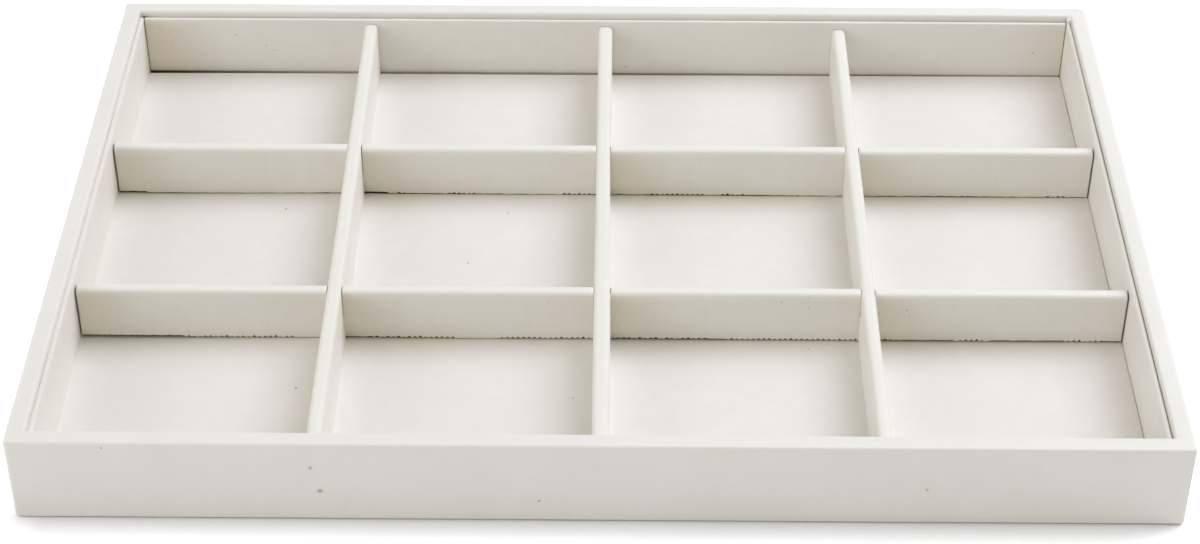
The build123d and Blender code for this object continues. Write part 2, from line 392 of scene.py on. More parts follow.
# Each finish: the material's name, the function that makes it, and what that needs after the colour
FINISHES = {
    "frame_leatherette": ("cast_cream_leatherette_frame", leatherette, 0.10, FRAME_FLECKS, FRAME_YELLOWED),
    "liner_leatherette": ("cast_cream_leatherette_lining", leatherette, 0.20, LINING_FLECKS),
    "divider_leatherette": ("cast_cream_leatherette_dividers", leatherette, 0.26, DIVIDER_FLECKS),
    "sheet_backing": ("knitted_sheet_backing", sheet_backing),
    "fibreboard": ("sawn_fibreboard", fibreboard),
    "grey_card": ("rolled_grey_card", grey_card),
    "underside_felt": ("needled_underside_felt", underside_felt),
}


def material_of(finish):
    """The material of a finish, made the first time that a piece asks for it."""
    name, surface, *details = FINISHES[finish]
    colour = list(getattr(colours(), finish))
    return bpy.data.materials.get(name) or new_material(name, surface, colour, *details)


# Sheets as meshes

def box_of(node):
    """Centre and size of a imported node."""
    low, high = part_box(node)
    return (low + high) / 2, high - low


def spaced(start, end, step, *fixed):
    """Places from start to end, no further apart than step, with the fixed ones among them."""
    marks = sorted({start, end, *[place for place in fixed if start < place < end]})
    places = [start]
    for low, high in zip(marks, marks[1:]):
        count = max(1, math.ceil((high - low) / step - 1e-6))
        places += [low + (high - low) * n / count for n in range(1, count + 1)]
    return places


def arc(centre, radius, start, end, steps):
    """Points on an arc, in the order from start to end, angles in quarter turns."""
    angles = [(start + (end - start) * n / steps) * QUARTER for n in range(steps + 1)]
    return [(centre[0] + radius * math.cos(a), centre[1] + radius * math.sin(a)) for a in angles]


def sheet_from_grid(points, folds, keeps, closed=False):
    """A bmesh of quads over lines of points; folds say how sharply the sheet is folded at each."""
    bm = bmesh.new()
    layer = bm.verts.layers.float.new("fold")
    bm.verts.layers.float.new("crevice")
    bm.verts.layers.float.new("dust")
    lines = []
    for line, worn in zip(points, folds):
        made = []
        for place, value in zip(line, worn):
            vert = bm.verts.new(place)
            vert[layer] = value
            made.append(vert)
        lines.append(made)
    if closed:
        lines.append(lines[0])
    for i in range(len(lines) - 1):
        for j in range(len(lines[i]) - 1):
            quad = (lines[i][j], lines[i + 1][j], lines[i + 1][j + 1], lines[i][j + 1])
            middle = sum((vert.co for vert in quad), Vector()) / 4
            if keeps(middle, i, j):
                bm.faces.new(quad)
    return bm


def cleaned(bm):
    """Joins doubled points, and takes out empty faces and loose points."""
    bmesh.ops.remove_doubles(bm, verts=bm.verts, dist=3e-6)
    bmesh.ops.dissolve_degenerate(bm, dist=1e-6, edges=bm.edges)
    bmesh.ops.delete(bm, geom=[vert for vert in bm.verts if not vert.link_faces], context="VERTS")
    bm.normal_update()
    return bm


def rippled(bm, height, seed, wide=22 * MM, narrow=5 * MM):
    """Pushes a sheet in and out along its normals, as glue and board do under a real one."""
    bm.normal_update()
    shift = Vector((seed * 3.7, seed * 1.3, seed * 2.1))
    for vert in bm.verts:
        swell = noise.noise(vert.co / wide + shift) + 0.4 * noise.noise(vert.co / narrow + shift)
        vert.co += vert.normal * height * swell


def wander(x, wave, lane, seed):
    """A slow change along a piece, between -1 and 1; the lane and the seed make each one different."""
    return noise.noise(Vector((x / wave, lane, seed)))


def seated(bm, centre, whole, turns=0):
    """Turns a strip by quarter turns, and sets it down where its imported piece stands."""
    seat = Matrix.Translation((centre.x, centre.y, centre.z - whole.z / 2))
    bm.transform(seat @ Matrix.Rotation(turns * QUARTER, 4, "Z"))


def dressed(name, bm, sheet, finish, body, nodes):
    """The finished piece: the sheet gets its thickness inwards, and takes the place of its nodes."""
    mesh = bpy.data.meshes.new(name)
    bm.to_mesh(mesh)
    bm.free()
    mesh.materials.append(material_of(finish))
    mesh.materials.append(material_of("sheet_backing"))
    piece = bpy.data.objects.new(name, mesh)
    bpy.context.scene.collection.objects.link(piece)
    thick = piece.modifiers.new("Sheet", "SOLIDIFY")
    thick.thickness = sheet
    thick.offset = -1.0
    thick.use_even_offset = True
    thick.material_offset = 1
    thick.material_offset_rim = 1
    graph = bpy.context.evaluated_depsgraph_get()
    solid = bpy.data.meshes.new_from_object(
        piece.evaluated_get(graph), preserve_all_data_layers=True, depsgraph=graph)
    piece.modifiers.clear()
    piece.data = solid
    bpy.data.meshes.remove(mesh)
    solid.name = name
    solid.shade_smooth()
    solid.set_sharp_from_angle(angle=math.radians(38))
    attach(piece, body)
    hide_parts(*nodes)


def strip_cover(size, top_radius, end_radius, step, slots=(), teeth=None, fold_back=None, bend=None, low=()):
    """A sheet folded over an upright strip along X: its two faces, its round top and its ends.

    slots are (centre, half width, low, high). teeth gives the lift of the bottom edge at a place
    along the strip. fold_back is how far down the sheet reaches on the +Y face. bend moves a point.
    low are levels that get a line of points.
    """
    length, thickness, height = size
    half, straight = thickness / 2, height - top_radius
    # The first level over the bottom edge, the steps up a face, over the top and round an end
    first_level, face_step, top_steps, end_steps = 0.9 * MM, 2.4 * MM, 6, 5
    # A cut edge at a slot is pressed in a little: how near it, how far in, and how far down on top
    cut_reach, cut_in, cut_down = 0.7 * MM, 0.15 * MM, 0.25 * MM
    levels = spaced(0, straight, face_step, *(low or [first_level]), *[z for slot in slots for z in slot[2:]],
                    *([height - fold_back] if fold_back else []))

    def section(inset, gather=0.0):
        up = [(inset - half, z) for z in levels]
        over = arc((top_radius - half, straight), top_radius - inset, 2, 1, top_steps)[1:]
        down = [(-y, z) for y, z in reversed(up + over)]
        if half - top_radius < 0.05 * MM:
            down = down[1:]
        return [(y * (1 - gather), z - gather * max(0.0, z - straight)) for y, z in up + over + down]

    end = length / 2
    stations = [(end, end_radius, 1.0), (end, end_radius, 0.5)]
    stations += [(end - end_radius * (1 - math.cos(a)), end_radius * (1 - math.sin(a)), 0.0)
                 for a in (n * QUARTER / end_steps for n in range(end_steps + 1))]
    edges = [centre + way * (wide + extra) for centre, wide, _, _ in slots
             for way in (-1, 1) for extra in (0, 0.3 * MM, cut_reach)]
    straight_run = spaced(-end + end_radius, end - end_radius, step, *edges)
    places = [(-x, inset, gather) for x, inset, gather in stations]
    places += [(x, 0.0, 0.0) for x in straight_run[1:-1]]
    places += list(reversed(stations))

    points, folds = [], []
    for n, (x, inset, gather) in enumerate(places):
        line, worn = [], []
        outline = section(inset, gather)
        last = len(outline) - 1
        for j, (y, z) in enumerate(outline):
            if teeth and j in (0, last) and not gather:
                z += teeth(x, n)
            cut = min([abs(abs(x - centre) - wide) for centre, wide, low, high in slots
                       if low <= z <= high and abs(x - centre) >= wide - 1e-6] or [1.0])
            pressed = fading(cut, cut_reach) ** 2
            y *= 1 - cut_in * pressed / half
            if z > straight:
                z -= cut_down * pressed
            line.append(Vector((x, y, z)))
            rounded = 1.0 if len(levels) <= j + 1 <= last - len(levels) + 2 else 0.0
            worn.append(max(rounded, pressed, 0.8 if inset > 0 else 0.0))
        points.append(line)
        folds.append(worn)

    def keeps(middle, i, j):
        in_slot = any(abs(middle.x - centre) < wide and low < middle.z < high
                      for centre, wide, low, high in slots)
        behind = fold_back and middle.y > half - 1e-5 and middle.z < height - fold_back
        return not in_slot and not behind

    bm = cleaned(sheet_from_grid(points, folds, keeps))
    if bend:
        for vert in bm.verts:
            vert.co = bend(vert.co)
    return bm


def ring_stations(half, marks, steps):
    """Stations round a rounded rectangle, anticlockwise from the front side's left end.

    Each ends in a function from (inward distance, plan radius) to a point in plan.
    """
    signs = ((1, -1), (1, 1), (-1, 1), (-1, -1))

    def corner(n, turn):
        sign_x, sign_y = signs[n % 4]
        angle = (n - 1 + turn) * QUARTER

        def at(inward, radius):
            x = sign_x * (half[0] - inward - radius) + radius * math.cos(angle)
            y = sign_y * (half[1] - inward - radius) + radius * math.sin(angle)
            return Vector((x, y))
        return at

    def between(start, end, share):
        return lambda inward, radius: start(inward, radius).lerp(end(inward, radius), share)

    stations = []
    for n in range(4):
        start, end = corner(n - 1, 1), corner(n, 0)
        stations += [("side", n, between(start, end, share)) for share in marks[n]]
        stations += [("corner", n, corner(n, k / steps)) for k in range(steps)]
    return stations


def shares(length, step, *fixed):
    """Even shares of a side, with the fixed places measured from its start, in metres."""
    return [place / length for place in spaced(0, length, step, *fixed)][:-1]


def wrapped_tile(half, section, radius_at, step):
    """A sheet over a flat tile: a ring that follows the section, and a middle at its last point."""
    inner, level = section[-1]
    inner_half = (half[0] - inner, half[1] - inner)
    marks = [shares(2 * inner_half[n % 2], step) for n in range(4)]
    stations = ring_stations(half, marks, steps=5)
    points = [[Vector((*at(d, radius_at(d)), z)) for d, z in section] for _, _, at in stations]
    folds = [[1.0 if 0 < n < len(section) - 1 else 0.0 for n in range(len(section))] for _ in stations]
    bm = sheet_from_grid(points, folds, lambda *_: True, closed=True)
    along = [(2 * share - 1) * inner_half[0] for share in marks[0] + [1.0]]
    across = [(2 * share - 1) * inner_half[1] for share in marks[1] + [1.0]]
    middle = [[bm.verts.new((x, y, level)) for y in across] for x in along]
    for i in range(len(along) - 1):
        for j in range(len(across) - 1):
            bm.faces.new((middle[i][j], middle[i + 1][j], middle[i + 1][j + 1], middle[i][j + 1]))
    return cleaned(bm)


# The pieces

def frame_cover():
    """One sheet: from its turn-in under the tray, up the outside, over the rim and down inside."""
    size = sizes()
    low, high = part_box("frame_cover")
    board_low, board_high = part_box("left_frame_board")
    wall = 2 * (board_low.x - low.x) + (board_high.x - board_low.x)
    foot, top = low.z, high.z
    flap_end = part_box("back_liner_board")[0].z
    half = ((high.x - low.x) / 2, (high.y - low.y) / 2)
    outer, inner, under = size.rim_outer_radius, size.rim_inner_radius, size.foot_radius
    # Steps along the sides, up the walls and over the crown, and the crown's height over the board
    side_step, wall_step, crown_step, crown_rise = 4 * MM, 3 * MM, 0.7 * MM, 0.03 * MM
    # The ear in the back right corner: its middle below the top, how high and far it reaches and stands,
    # and where its crease runs and ends
    ear_drop, ear_height, ear_reach, ear_stand = 1.9 * MM, 1.4 * MM, 1.5 * MM, 2.0 * MM
    ear_crease, ear_crease_width, ear_end = 1.6 * MM, 0.7 * MM, 2.6 * MM

    section = [(d, foot) for d in spaced(under, size.turn_in, side_step)][::-1]
    section += [(-x, z) for x, z in arc((-under, foot + under), under, 3, 4, 3)][1:]
    wall_start = len(section)
    section += [(0, z) for z in spaced(foot + under, top - outer, wall_step)][1:]
    rim_start = len(section)
    section += arc((outer, top - outer), outer, 2, 1, 6)[1:]
    section += [(d, top + crown_rise) for d in spaced(outer, wall - inner, crown_step)[1:-1]]
    section += arc((wall - inner, top - inner), inner, 1, 0, 6)
    flap_start = len(section)
    ear_levels = (top - ear_drop - ear_crease_width, top - ear_drop, top - 1.3 * MM)
    section += [(wall, z) for z in reversed(spaced(flap_end, top - inner, wall_step, *ear_levels))][1:]

    inner_corner, least_corner = 0.9 * MM, 0.4 * MM

    def plan_radius(number):
        if number >= flap_start - 4:
            return inner_corner
        return max(size.corner_radius - section[number][0], least_corner)

    # The sheet's two ends overlap on the back side, near its left end as seen from behind
    lap, lap_step, lap_rise, lap_reach = 31 * MM, 0.25 * MM, 0.17 * MM, 14 * MM
    marks = []
    for n in range(4):
        length = 2 * half[n % 2]
        close = [place for near in (0.5 * MM, 1.2 * MM, 2.2 * MM) for place in (near, length - near)]
        marks.append(shares(length, side_step, *close, *((lap, lap + lap_step) if n == 2 else ())))
    stations = ring_stations(half, marks, steps=8)
    points = [[Vector((*at(d, plan_radius(n)), z)) for n, (d, z) in enumerate(section)]
              for _, _, at in stations]
    rounds = {*range(wall_start - 3, wall_start), *range(rim_start, rim_start + 6),
              *range(flap_start - 6, flap_start)}
    folds = [[1.0 if n in rounds or kind == "corner" else 0.0 for n in range(len(section))]
             for kind, _, _ in stations]
    # The inner flap is slit at its front corners; at the back right it is folded into a small ear
    slit = {i for i, (kind, n, _) in enumerate(stations) if kind == "corner" and n in (0, 3)}
    middle = {i for i in slit
              if stations[i - 3][0] == "corner" and stations[(i + 3) % len(stations)][0] == "corner"}

    def keeps(_, i, j):
        return not (i in middle and j >= flap_start - 2)

    bm = cleaned(sheet_from_grid(points, folds, keeps, closed=True))
    rippled(bm, size.ripple * 1.3, 1, wide=45 * MM, narrow=9 * MM)
    ear = Vector((half[0] - wall, half[1] - wall))
    lap_start = half[0] - lap
    # How far the flap is pressed onto the back board and the right one, and how that fades to the back
    back_press, right_press, right_press_fade = 0.26 * MM, 0.10 * MM, 0.08 * MM
    # The flap's crease at the back left: half its width, its reach in depth, and its start below the top
    crease_half, crease_depth, crease_start = 1.6 * MM, 0.7 * MM, 2.4 * MM
    # How far the back board's cover stands off it, and the stretch over which that fades at the corners
    stand_off, stand_off_fade = 0.40 * MM, 4 * MM
    # How far that cover's inner edge droops, over what width, and the stretch over which that fades
    droop, droop_width, droop_fade = 0.40 * MM, 1.6 * MM, 3 * MM
    back_right_corner = 2.2 * MM
    crevice = bm.verts.layers.float["crevice"]
    for vert in bm.verts:
        x, y, z = vert.co
        if y > half[1] - wall - 1e-4 and lap_start - lap_reach < x <= lap_start + 1e-5 and z > foot:
            vert.co += vert.normal * lap_rise * (1 - (lap_start - x) / lap_reach)
        # The flap is pressed flat on the back board and, more so to the front, on the right one
        for depth, most, way in ((half[1] - y, back_press, Vector((0, 1, 0))),
                                 (half[0] - x, right_press - right_press_fade * y / half[1],
                                  Vector((1, 0, 0)))):
            if depth < wall + 1 * MM:
                vert.co += way * (most * clipped((depth - wall + inner) / inner))
        away = (Vector((x, y)) - ear).length
        height = 1 - abs(top - z - ear_drop) / ear_height
        if away < ear_end and height > 0:
            shown = min(1.0, 2 * height)
            vert.co += Vector((-0.7, -0.7, 0.0)) * ear_stand * fading(away, ear_reach) * shown
            # Painted shade along the ear's crease
            vert[crevice] = 0.55 * fading(abs(away - ear_crease), ear_crease_width) * shown
        # At the back left the flap is creased down to the liner, with painted shade along the crease
        crease = x + half[0] - wall
        on_flap = abs(y - half[1] + wall) < crease_depth
        if 0 < crease < 2 * crease_half and on_flap and z < top - crease_start:
            vert[crevice] = 0.8 * (1 - (crease / crease_half - 1) ** 2)
        # The back board's cover stands off it a little between the corners
        if y > half[1] - 1.5 * MM:
            vert.co.y += stand_off * clipped((half[0] - abs(x)) / stand_off_fade)
        # Its inner edge droops towards the liner
        inward = (half[1] - y - wall + droop_width) / droop_width
        if 0 < inward < 1.3 and z > top - 1.2 * MM:
            between_corners = clipped((half[0] - wall - abs(x)) / droop_fade)
            vert.co.z -= droop * min(1.0, inward) ** 2 * between_corners
        # The back right corner is pulled rounder than the others
        side, back = x - half[0] + back_right_corner, y - half[1] + back_right_corner
        if side > 0 and back > 0:
            squeezed = max(side, back) / math.hypot(side, back)
            vert.co.x -= side * (1 - squeezed)
            vert.co.y -= back * (1 - squeezed)
    dressed("frame_wrap", bm, size.frame_sheet, "frame_leatherette", "tray", ["frame_cover"])


def liner_covers():
    """Four strips of thin leatherette over the liner cards, with a short fold behind each."""
    size = sizes()
    turns = {"front": 2, "back": 0, "left": 1, "right": -1}
    floor_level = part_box("floor_cover")[1].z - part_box("back_liner_cover")[0].z
    liner_height = 24 * MM
    # How far the painted shade reaches along the back liner from its left and right ends, and up from the
    # floor
    left_shade_reach, right_shade_reach, floor_shade_reach = 28 * MM, 16 * MM, 6 * MM
    # How much the left liner's back end falls short, and the stretch at the end that this shortens
    short_by, short_stretch = 0.2 * MM, 2 * MM
    for number, side in enumerate(SIDES):
        centre, whole = box_of(side + "_liner_cover")
        length, thickness = max(whole.x, whole.y), min(whole.x, whole.y)

        def bend(point, number=number, length=length):
            # The strips lean back a little towards their tops
            high = point.z / liner_height
            lean = 0.10 * MM * math.sin(math.pi * (point.x / length + 0.5)) * high
            if side in ("left", "right"):
                most = 0.15 - 0.05 * point.x / length if side == "left" else 0.08
                lean = most * MM * high
            sway = 0.07 * MM * wander(point.x, 60 * MM, number * 5.0, 0.0)
            return point + Vector((0, lean + sway, 0))

        bm = strip_cover((length, thickness, whole.z), size.liner_top_radius, end_radius=0.4 * MM,
                         step=3 * MM, fold_back=size.liner_fold, bend=bend,
                         low=(floor_level, floor_level + 0.1 * MM))
        if side == "back":
            # Painted shade in its corners and along the floor, and dark painted shade below the floor, where
            # it goes down behind the floor pad
            layer, dust = bm.verts.layers.float["crevice"], bm.verts.layers.float["dust"]
            for vert in bm.verts:
                x, _, z = vert.co
                left, right = length / 2 + x, length / 2 - x
                below_top = clipped((whole.z - z) / (1.0 * MM) - 0.4)
                vert[dust] = below_top * min(1.0, fading(left, left_shade_reach) + 0.65 * fading(right, right_shade_reach)
                                         + 0.2 * fading(z - floor_level, floor_shade_reach))
                gap_shade = max(0.35, 1.0 - 3.6 * (0.5 + x / length))
                vert[layer] = gap_shade if z < floor_level + 0.05 * MM else 0.0
        if side == "left":
            # It touches the frame's flap, so its outer top edge is hardly rounded
            for vert in bm.verts:
                vert.co.x -= short_by * fading(length / 2 - vert.co.x, short_stretch)
                if vert.co.y > 0.1 * MM and vert.co.z > whole.z - 0.65 * MM:
                    vert.co.y += 0.6 * max(0.0, thickness / 2 + 0.1 * MM - vert.co.y)
                    vert.co.z += 0.5 * max(0.0, whole.z - vert.co.z)
        rippled(bm, size.ripple * 0.8, 10 + number)
        seated(bm, centre, whole, turns[side])
        dressed(side + "_liner_wrap", bm, size.liner_sheet, "liner_leatherette", "tray",
                [side + "_liner_cover"])


def floor_cover():
    """The floor pad's sheet, with soft edges, cut a little short behind its left end."""
    size = sizes()
    centre, whole = box_of("floor_cover")
    bottom, top = [corner.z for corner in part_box("floor_cover")]
    radius, edge_width, corner_radius = size.floor_edge_radius, 2.4 * MM, 1.0 * MM
    half = (whole.x / 2, whole.y / 2)
    section = [(0, z) for z in spaced(bottom, top - radius, 0.4 * MM)]
    section += arc((radius, top - radius), radius, 2, 1, 6)[1:]
    section += [(edge_width, top)]
    bm = wrapped_tile(half, section, lambda inward: corner_radius * fading(inward, edge_width),
                      step=2.6 * MM)

    rows = [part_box(f"row_divider_{n}_cover")[0].y - centre.y for n in (1, 2)]
    # How far the painted shade reaches, and the stretches over which the pad's back edge and its ends are
    # shifted
    shade_reach, back_stretch, end_stretch = 6 * MM, 12 * MM, 10 * MM
    # How much further the pad reaches at its left end and at its right end
    left_reach, right_reach = 0.50 * MM, 0.22 * MM
    dust = bm.verts.layers.float["dust"]
    for vert in bm.verts:
        # Painted shade at the row dividers' feet
        vert[dust] = max(0.65 * fading(abs(row + 0.5 * MM - vert.co.y), shade_reach) for row in rows)
        # The pad stands off the back liner, most at its left end, but less about a fifth along
        back = max(0.0, (vert.co.y - half[1] + back_stretch) / back_stretch)
        left = clipped(1 - (vert.co.x + half[0]) / (2 * half[0]))
        vert.co.y += (0.30 - 0.25 * left) * MM * back
        narrower = 1 - 0.42 * fading(abs(0.8 - left), 0.25)
        vert.co.y -= size.floor_back_gap * back * left ** 0.7 * narrower
        # It lies against the left liner, and reaches a little further to the right
        vert.co.x -= left_reach * fading(vert.co.x + half[0], end_stretch)
        vert.co.x += right_reach * fading(half[0] - vert.co.x, end_stretch)
    rippled(bm, size.ripple * 0.7, 20, wide=34 * MM, narrow=8 * MM)
    bm.transform(Matrix.Translation((centre.x, centre.y, 0)))
    dressed("floor_pad_wrap", bm, size.floor_sheet, "liner_leatherette", "tray", ["floor_cover"])


def flared(x):
    """How far a place along a row divider is into its flared left end, from 0 to 1."""
    return clipped((-90 * MM - x) / (60 * MM))


def pinked(number, depth, lowest):
    """The lift of a pinked edge, which shows as teeth in some stretches and as a plain line in others."""
    highest_tooth, highest_line = 1.45 * MM, 1.2 * MM

    def lift(x, station):
        toothed, lifted = [any(start * MM <= x <= end * MM for start, end in stretches[number])
                           for stretches in (TOOTHED, LIFTED)]
        uneven = wander(x, 2.3 * MM, number * 3.1, 2.0)
        slow = wander(x, 25 * MM, number * 7.3, 0.4)
        low = lowest * ((2.0 if lifted else 0.95) + 0.5 * uneven + 0.4 * slow
                        + FOOT_LIFT_SHARES[number] * flared(x))
        if station % 2:
            return 0.7 * low if toothed else low
        tooth = TOOTH_SHARES[number] * depth * (0.85 + 0.6 * uneven)
        return min(highest_tooth, max(low, tooth)) if toothed else min(highest_line, low)
    return lift


def column_swell(number, along):
    """How far a column divider's cover stands out at a place: left top, left foot, right top, right foot."""
    table = COLUMN_SWELL[number]
    for before, after in zip(table, table[1:]):
        if along <= after[0] * MM or after is table[-1]:
            share = clipped((along / MM - before[0]) / (after[0] - before[0]))
            return [(a + (b - a) * share) * MM for a, b in zip(before[1:], after[1:])]


def row_dividers():
    """Covers of the dividers from side to side, pinked along the bottom and slotted from above."""
    size = sizes()
    columns = [box_of(f"column_divider_{n}_cover")[0].x for n in (1, 2, 3)]
    # The slots' floor, half of a slot's least width, and half of a column divider with some play
    slot_floor, slot_half, column_half = 9.86 * MM, 2.15 * MM, 2.2 * MM
    # How far the ends reach past the imported cover, the width of their folds painted dark as shade, and a
    # small play
    end_reach, end_fold, play = 0.15 * MM, 0.3 * MM, 0.1 * MM
    # How far the painted shade reaches from the left and the right of each cell, and up from the floor
    left_shade_reach, right_shade_reach, foot_shade_reach = 22 * MM, 9 * MM, 5 * MM
    # Length and height of the painted dark shade in the corner at the left of each cell
    corner_shade_length, corner_shade_height = 7 * MM, 2.6 * MM
    # The first line of points over the pinked edge lies higher than the highest tooth
    foot_level = 1.6 * MM
    for number in (1, 2):
        centre, whole = box_of(f"row_divider_{number}_cover")
        slots = []
        for column, place in enumerate(columns, start=1):
            left_top, left_foot, right_top, right_foot = column_swell(column, centre.y)
            left, right = [max(at_top, (at_top + at_foot) / 2)
                           for at_top, at_foot in ((left_top, left_foot), (right_top, right_foot))]
            slots.append((place + (right - left) / 2, slot_half + (left + right) / 2,
                          slot_floor, whole.z + 1.0))
        stand = ROW_STAND[number] * MM
        reach = whole.x / 2 + end_reach

        def bend(point, number=number):
            sway = 0.10 * MM * wander(point.x, 70 * MM, number * 9.1, 0.0)
            swell = 0.10 * MM * wander(point.x, 30 * MM, number * 4.7, 3.0)
            lean = stand * (1 - 1.5 * point.z / whole.z)
            front = max(0.0, -point.y / (whole.y / 2))
            flare = FOOT_FLARE[number] * MM * front * flared(point.x) * (1 - clipped(point.z / whole.z)) ** 2
            return point + Vector((0, sway + stand + lean - flare, swell * (point.z / whole.z) ** 4))

        bm = strip_cover((2 * reach, whole.y, whole.z), size.divider_top_radius, size.divider_end_radius,
                         size.tooth_pitch / 2, slots=slots,
                         teeth=pinked(number, size.tooth_depth, size.edge_lift), bend=bend,
                         low=(foot_level,))
        # The folded ends are painted dark as shade, and shade is painted at the foot and in the corners of
        # each cell
        layer, dust = bm.verts.layers.float["crevice"], bm.verts.layers.float["dust"]
        for vert in bm.verts:
            x, _, z = vert.co
            left = min(away for away in [x + reach] + [x - place - column_half for place in columns]
                       if away > -play)
            right = min([reach - x] + [place - column_half - x for place in columns
                                       if place - column_half - x > -play])
            end_shade = 0.8 * clipped((abs(x) - reach + end_fold) / end_fold)
            vert[layer] = max(end_shade, 0.45 * fading(left, corner_shade_length) * fading(z, corner_shade_height))
            below_top = clipped((whole.z - z) / (1.5 * MM) - 0.5)
            vert[dust] = below_top * min(1.0, 0.75 * fading(left, left_shade_reach) + 0.35 * fading(right, right_shade_reach)
                                     + 0.40 * fading(z, foot_shade_reach))
        rippled(bm, size.ripple, 30 + number)
        seated(bm, centre, whole)
        dressed(f"row_divider_{number}_wrap", bm, size.divider_sheet, "divider_leatherette", "row_dividers",
                [f"row_divider_{number}_cover"])


def column_dividers():
    """Covers of the dividers from front to back, slotted from below so that their tops run on."""
    size = sizes()
    rows = [box_of(f"row_divider_{n}_cover")[0].y for n in (1, 2)]
    # The slots' top, half of their width, how far the back end reaches, and the stretch that it shifts
    slot_top, slot_half, end_reach, end_stretch = 9.90 * MM, 2.24 * MM, 0.22 * MM, 4 * MM
    top_height = 20 * MM
    for number in (1, 2, 3):
        centre, whole = box_of(f"column_divider_{number}_cover")
        slots = [(row - centre.y, slot_half, -1.0, slot_top) for row in rows]
        rise_start = slots[1][0] + 4 * MM

        def bend(point, number=number):
            sway = 0.10 * MM * wander(point.x, 60 * MM, number * 8.3, 5.0)
            swell = 0.08 * MM * wander(point.x, 30 * MM, number * 2.9, 8.0)
            # In the strip's own axes +Y is the column's left side
            left_top, left_foot, right_top, right_foot = column_swell(number, point.x + centre.y)
            high = point.z / whole.z
            side = point.y / (whole.x / 2)
            if side > 0:
                out = side * (left_foot + (left_top - left_foot) * high)
            else:
                out = side * (right_foot + (right_top - right_foot) * high)
            back = max(0.0, (point.x - rise_start) / (whole.y / 2 - rise_start))
            rise = COLUMN_RISE[number] * MM * back * high
            reach = end_reach * fading(whole.y / 2 - point.x, end_stretch)
            return point + Vector((reach, sway + out, swell * (point.z / top_height) ** 4 + rise))

        bm = strip_cover((whole.y, whole.x, whole.z), size.divider_top_radius, size.column_end_radius,
                         step=2.4 * MM, slots=slots, bend=bend)
        rippled(bm, size.ripple, 40 + number)
        seated(bm, centre, whole, turns=1)
        dressed(f"column_divider_{number}_wrap", bm, size.divider_sheet, "divider_leatherette",
                f"column_divider_{number}", [f"column_divider_{number}_cover"])


def underside():
    """The felt glued under the tray: it steps up inside the turned-in cover, and its edge is cut."""
    size = sizes()
    _, whole = box_of("underside_sheet")
    half = (whole.x / 2, whole.y / 2)
    # The border lies under the turn-in, and the middle steps up by the cover's thickness
    margin, rise, slope, ramp = 3 * MM, 0.4 * MM, 0.05 * MM, 0.6 * MM
    border, corner = size.turn_in - margin, 2.5 * MM
    section = [(0, 0), (border / 2, 0), (border - 2 * ramp, 0), (border - ramp, slope), (border, rise / 2),
               (border + ramp, rise - slope), (border + 2 * ramp, rise), (border + 4 * MM, rise)]
    bm = wrapped_tile(half, section, lambda inward: max(0.0, corner - inward), step=4 * MM)
    shift = Vector((3.0, 8.0, 0.0))
    for vert in bm.verts:
        if vert.co.z > 0.3 * MM:
            vert.co.z += 0.06 * MM * noise.noise(vert.co / (26 * MM) + shift)
    bmesh.ops.reverse_faces(bm, faces=bm.faces)
    dressed("underside_felt", bm, size.underside_sheet, "underside_felt", "tray", ["underside_sheet"])


def raw_boards():
    """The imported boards, panel and cores keep their shapes, and get the finish of raw board or card."""
    for node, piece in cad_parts.items():
        if node.endswith("frame_board") or node.endswith("_core") or node == "base_panel":
            finish = "fibreboard"
        elif node.endswith("liner_board") or node == "floor_board":
            finish = "grey_card"
        else:
            continue
        for place in piece.material_slots:
            place.material = material_of(finish)


# The stage

def seen_directly(tree):
    """A node that gives 1 where the camera, a reflection or a clear piece shows the surface, and else 0."""
    path = add(tree, "LightPath")
    seen = add(tree, "Math", {0: path.outputs["Is Camera Ray"], 1: path.outputs["Is Glossy Ray"]},
               operation="MAXIMUM")
    return add(tree, "Math", {0: seen, 1: path.outputs["Is Transmission Ray"]}, operation="MAXIMUM")


def table_paper(tree):
    """Matte white paper, which the camera sees as white apart from the tray's shadow, deepened by painted
    shadow.
    """
    # Painted shadow: its colour is darkened where the tray stands close over it and just at the tray's front
    # edge, and painted lighter towards the sides and back so that the shadow clears there
    close = add(tree, "AmbientOcclusion", {"Distance": 35 * MM})
    painted_shadow = add(tree, "MapRange", {"Value": close.outputs["AO"], "To Min": 0.55})
    along = add(tree, "SeparateXYZ", {0: add(tree, "TexCoord").outputs["Object"]})
    # Along each axis: where the change begins and ends in mm, and the factors there
    for axis, near, far, least, most in ((1, -120.3, -128, 0.87, 1.13), (1, -121, -106, 1.0, 1.8),
                                         (0, -167, -182, 1.0, 1.5)):
        shadow_ramp = add(tree, "MapRange", {"Value": along.outputs[axis], "From Min": near * MM,
                                         "From Max": far * MM, "To Min": least, "To Max": most})
        painted_shadow = add(tree, "Math", {0: painted_shadow, 1: shadow_ramp}, operation="MULTIPLY")
    paper = add(tree, "Mix", {0: 1.0, 6: (1.41, 1.45, 1.51, 1), 7: painted_shadow},
                data_type="RGBA", blend_type="MULTIPLY")
    shown = add(tree, "BsdfDiffuse", {"Color": paper})
    matte = add(tree, "BsdfDiffuse", {"Color": (0.93, 0.93, 0.93, 1)})
    return add(tree, "MixShader", {0: seen_directly(tree), 1: matte, 2: shown})


def studio_floor():
    """The pale table under the tray."""
    bm = bmesh.new()
    bmesh.ops.create_grid(bm, x_segments=8, y_segments=8, size=4.0)
    mesh = bpy.data.meshes.new("table")
    bm.to_mesh(mesh)
    bm.free()
    table = bpy.data.objects.new("table", mesh)
    bpy.context.scene.collection.objects.link(table)
    mesh.materials.append(new_material("matte_white_table", table_paper))


